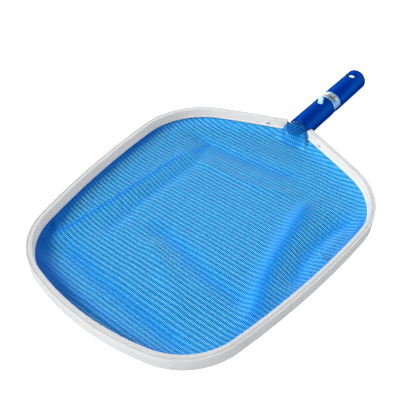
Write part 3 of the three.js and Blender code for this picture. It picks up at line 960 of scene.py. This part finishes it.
def make_rivets():
    """A pop rivet each side: a low domed head round the darker end of its pin."""
    dome = [(HEAD_RADIUS * math.cos(a), RIVET_SEAT + HEAD_HEIGHT * math.sin(a))
            for a in (math.radians(d) for d in (8, 22, 36, 50, 62))]
    body = ([(0, RIVET_TAIL - 0.6), (1.9, RIVET_TAIL - 0.6), (HEAD_RADIUS, RIVET_TAIL - 0.35),
             (HEAD_RADIUS, RIVET_TAIL), (SHANK_RADIUS, RIVET_TAIL),
             (SHANK_RADIUS, RIVET_SEAT), (HEAD_RADIUS, RIVET_SEAT)] + dome
            + [(1.15, RIVET_SEAT + 0.70), (1.08, RIVET_SEAT + 0.62), (1.06, RIVET_SEAT + 0.20),
               (0, RIVET_SEAT + 0.15)])
    pin = [(0, RIVET_SEAT), (0.95, RIVET_SEAT), (0.95, RIVET_SEAT + 0.30),
           (0.80, RIVET_SEAT + 0.42), (0, RIVET_SEAT + 0.46)]
    for side in ("right", "left"):
        place, axis = rivet_axis()
        for name, profile, material, nodes in (
                ("rivet_head", body, RIVET_METAL, (f"rivet_{side}",)),
                ("rivet_pin", pin, RIVET_PIN, ())):
            points, faces = lathe(profile, place, axis, 48)
            points = points if side == "right" else mirror(points)
            made = make_mesh(f"{name}_{side}_visual", points, faces, 35)
            dress(made, SKIMMER, "rivet", material, *nodes)


make_yoke()
make_rivets()

# ---------------------------------------------------------------- sprung clip and label

BUTTON_RADIUS, BUTTON_TIP = 3.2, TUBE_RADIUS + 7.0
PAD_HALF, PAD_TOP, PAD_THICKNESS = 4.5, 10.5, 1.6
CLIP_WIDTH, CLIP_LEG, BEND_Y, BEND_INNER = 9.0, 1.4, 197.0, 2.0
SIDES = (("top", 1), ("bottom", -1))


def from_axis(points, side):
    """Points given from the handle's axis, turned over for the lower side."""
    return [(side * p[0], p[1], AXIS_Z + side * p[2]) for p in points]


def make_buttons():
    pin = [(0, PAD_TOP - 0.5), (4.1, PAD_TOP - 0.2), (3.65, PAD_TOP + 0.15),
           (3.35, PAD_TOP + 0.45), (BUTTON_RADIUS, PAD_TOP + 0.9),
           (BUTTON_RADIUS - 0.04, BUTTON_TIP - 1.3), (3.05, BUTTON_TIP - 0.75),
           (2.7, BUTTON_TIP - 0.32), (2.1, BUTTON_TIP - 0.08), (1.3, BUTTON_TIP),
           (0.9, BUTTON_TIP - 0.04), (0.6, BUTTON_TIP - 0.22), (0, BUTTON_TIP - 0.30)]
    points, faces = lathe(pin, (0, BUTTON_Y, 0), (0, 0, 1), 64)
    pad = fillet([(-PAD_HALF, -PAD_HALF, 1.0), (PAD_HALF, -PAD_HALF, 1.0),
                  (PAD_HALF, PAD_HALF, 1.0), (-PAD_HALF, PAD_HALF, 1.0)], 6)
    low, high = PAD_TOP - PAD_THICKNESS, PAD_TOP
    inset = 0.25
    rings = [(low, inset), (low + inset, 0), (high - inset, 0), (high, inset)]
    pad_points, pad_faces = sweep([pad], rings, lambda p, ring: (
        p[0] * (1 - ring[1] / PAD_HALF), BUTTON_Y + p[1] * (1 - ring[1] / PAD_HALF), ring[0]))
    for name, side in SIDES:
        button = combine(f"button_{name}_visual", (from_axis(points, side), faces),
                         joined=((from_axis(pad_points, side), pad_faces),))
        finish_mesh(button.data, 35)
        dress(button, f"button_{name}", "clip", CLIP_NYLON, f"snap_button_{name}")


def strip(line):
    """A moulded strip, flat across X, along a line of (y, z) points."""
    half = CLIP_LEG / 2
    outline = fillet([(-CLIP_WIDTH / 2, -half, 0.3), (CLIP_WIDTH / 2, -half, 0.3),
                      (CLIP_WIDTH / 2, half, 0.3), (-CLIP_WIDTH / 2, half, 0.3)])
    stations = []
    for i, here in enumerate(line):
        run = Vector(line[min(i + 1, len(line) - 1)]) - Vector(line[max(i - 1, 0)])
        stations.append((here, run.normalized()))
    return sweep([outline], stations, lambda p, station: (
        p[0], station[0][0] - p[1] * station[1].y, station[0][1] + p[1] * station[1].x))


def make_clip():
    middle = BEND_INNER + CLIP_LEG / 2
    arc = [(BEND_Y - middle * math.sin(a), middle * math.cos(a))
           for a in (math.pi * k / 32 for k in range(33))]
    points, faces = strip(arc)
    bend = make_mesh("clip_bend_visual", from_axis(points, 1), faces)
    dress(bend, SKIMMER, "clip", CLIP_NYLON, "clip_bend")
    start, end = BEND_Y + 0.02, BUTTON_Y - PAD_HALF - 0.02
    rise = PAD_TOP - PAD_THICKNESS / 2 - middle
    ease = [k / 40 for k in range(41)]
    line = [(start + (end - start) * t,
             middle + rise * (0.72 * t + 0.28 * t * t * (3 - 2 * t))) for t in ease]
    points, faces = strip(line)
    for name, side in SIDES:
        leg = make_mesh(f"clip_leg_{name}_visual", from_axis(points, side), faces)
        leg.data.materials.append(CLIP_NYLON)
        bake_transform(leg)
        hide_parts(f"clip_leg_{name}")


def make_label():
    low, high = box_mm("label_sticker")
    half_angle = math.radians(84)
    inner, outer = 13.9, 14.36
    outline = fillet([(inner, low.y, 0.05), (outer, low.y, 0.12), (outer, high.y, 0.12),
                      (inner, high.y, 0.05)])
    angles = [half_angle * (k / 60 - 1) for k in range(121)]
    label = make_mesh("label", *sweep([outline], angles, lambda p, angle: (
        p[0] * math.sin(angle), p[1], AXIS_Z + p[0] * math.cos(angle))), 35)
    mesh = label.data
    uv = mesh.uv_layers.new(name="UVMap")
    for loop in mesh.loops:
        x, y, z = (mesh.vertices[loop.vertex_index].co - ORIGIN) / MM
        angle = math.atan2(x, z - AXIS_Z)
        uv.data[loop.index].uv = (0.5 + 0.5 * angle / half_angle,
                                  (y - low.y) / (high.y - low.y))
    dress(label, SKIMMER, "label", label_foil(), "label_sticker")


make_buttons()
make_clip()
make_label()

# ---------------------------------------------------------------- camera, light and floor

VIEW_AZIMUTH, VIEW_ELEVATION = math.radians(38.69), math.radians(43.71)
VIEW_DISTANCE = 646.2
VIEW_TARGET = (-11.81, 7.12, 0.0)
SENSOR = 36.0
LENS = 52.07

KEY_FROM = Vector((-0.33, -0.60, 0.73))
KEY_ENERGY, KEY_ANGLE = 2.80, math.radians(22)
KEY_COLOUR = (1.0, 0.99, 0.97)
WALL_FRONT, WALL_BACK, WALL_RIGHT, WALL_LEFT = 1.7, 2.2, 1.7, 2.3
SOFTBOX_FROM, SOFTBOX_LEVEL = Vector((-0.60, 0.56, 0.58)), 2.2
FLOOR_HALF = 8.0


def make_camera():
    """The camera, placed by its target, its distance and its direction from there."""
    data = bpy.data.cameras.new("camera")
    data.sensor_width, data.lens = SENSOR, LENS
    data.clip_start, data.clip_end = 0.01, 50
    camera = bpy.data.objects.new("camera", data)
    bpy.context.collection.objects.link(camera)
    back = Vector((math.sin(VIEW_AZIMUTH) * math.cos(VIEW_ELEVATION),
                   -math.cos(VIEW_AZIMUTH) * math.cos(VIEW_ELEVATION),
                   math.sin(VIEW_ELEVATION)))
    camera.location = to_row(Vector(VIEW_TARGET) + back * VIEW_DISTANCE)
    camera.rotation_mode = "QUATERNION"
    camera.rotation_quaternion = (-back).to_track_quat("-Z", "Y")
    bpy.context.scene.camera = camera


def make_key():
    """One broad sun."""
    data = bpy.data.lights.new("key", "SUN")
    data.energy, data.angle, data.color = KEY_ENERGY, KEY_ANGLE, KEY_COLOUR
    lamp = bpy.data.objects.new("key", data)
    bpy.context.collection.objects.link(lamp)
    lamp.rotation_mode = "QUATERNION"
    lamp.rotation_quaternion = (-KEY_FROM).to_track_quat("-Z", "Y")


def studio_world():
    """Soft light all round: pale walls near the horizon, and a softbox high behind on the left."""
    r = Recipe("studio", bpy.data.worlds)
    direction = r.node("TexCoord")["Generated"]
    x, y, z = r.node("SeparateXYZ", {0: direction})

    def part(value):
        return r.math("MAXIMUM", value, 0.0)

    level = r.math("MULTIPLY", r.range(z, -0.45, -0.05, 0.0, 1.0, smooth=True),
                   r.range(z, 0.10, 0.60, 1.0, 0.0, smooth=True))
    walls = 0.0
    for share, strength in (
            (part(r.math("MULTIPLY", y, -1.0)), WALL_FRONT), (part(y), WALL_BACK),
            (part(x), WALL_RIGHT), (part(r.math("MULTIPLY", x, -1.0)), WALL_LEFT)):
        walls = r.math("ADD", walls, r.math("MULTIPLY", share, strength))
    facing = r.node("VectorMath", {0: direction, 1: SOFTBOX_FROM.normalized()},
                    operation="DOT_PRODUCT")["Value"]
    softbox = r.range(facing, 0.92, 0.97, 0.0, SOFTBOX_LEVEL, smooth=True)
    strength = r.math("ADD", r.range(z, -0.2, 0.3, 0.28, 0.15), r.math(
        "ADD", r.math("MULTIPLY", walls, level), softbox))
    shade = r.node("Background", {"Color": colour(0.99, 0.99, 1.0), "Strength": strength})[0]
    r.node("OutputWorld", {"Surface": shade})
    return r.material


def make_studio():
    """Light all round, and a plain floor. The floor and the net light nothing else."""
    bpy.context.scene.world = studio_world()
    bpy.context.scene.view_settings.view_transform = "Standard"
    mesh = bpy.data.meshes.new("floor")
    signs = ((-1, -1), (1, -1), (1, 1), (-1, 1))
    mesh.from_pydata([(x * FLOOR_HALF, y * FLOOR_HALF, 0) for x, y in signs], [], [(0, 1, 2, 3)])
    mesh.materials.append(studio_floor())
    floor = bpy.data.objects.new("floor", mesh)
    bpy.context.collection.objects.link(floor)
    floor.visible_diffuse = floor.visible_glossy = False
    net.visible_diffuse = False


make_camera()
make_key()
make_studio()
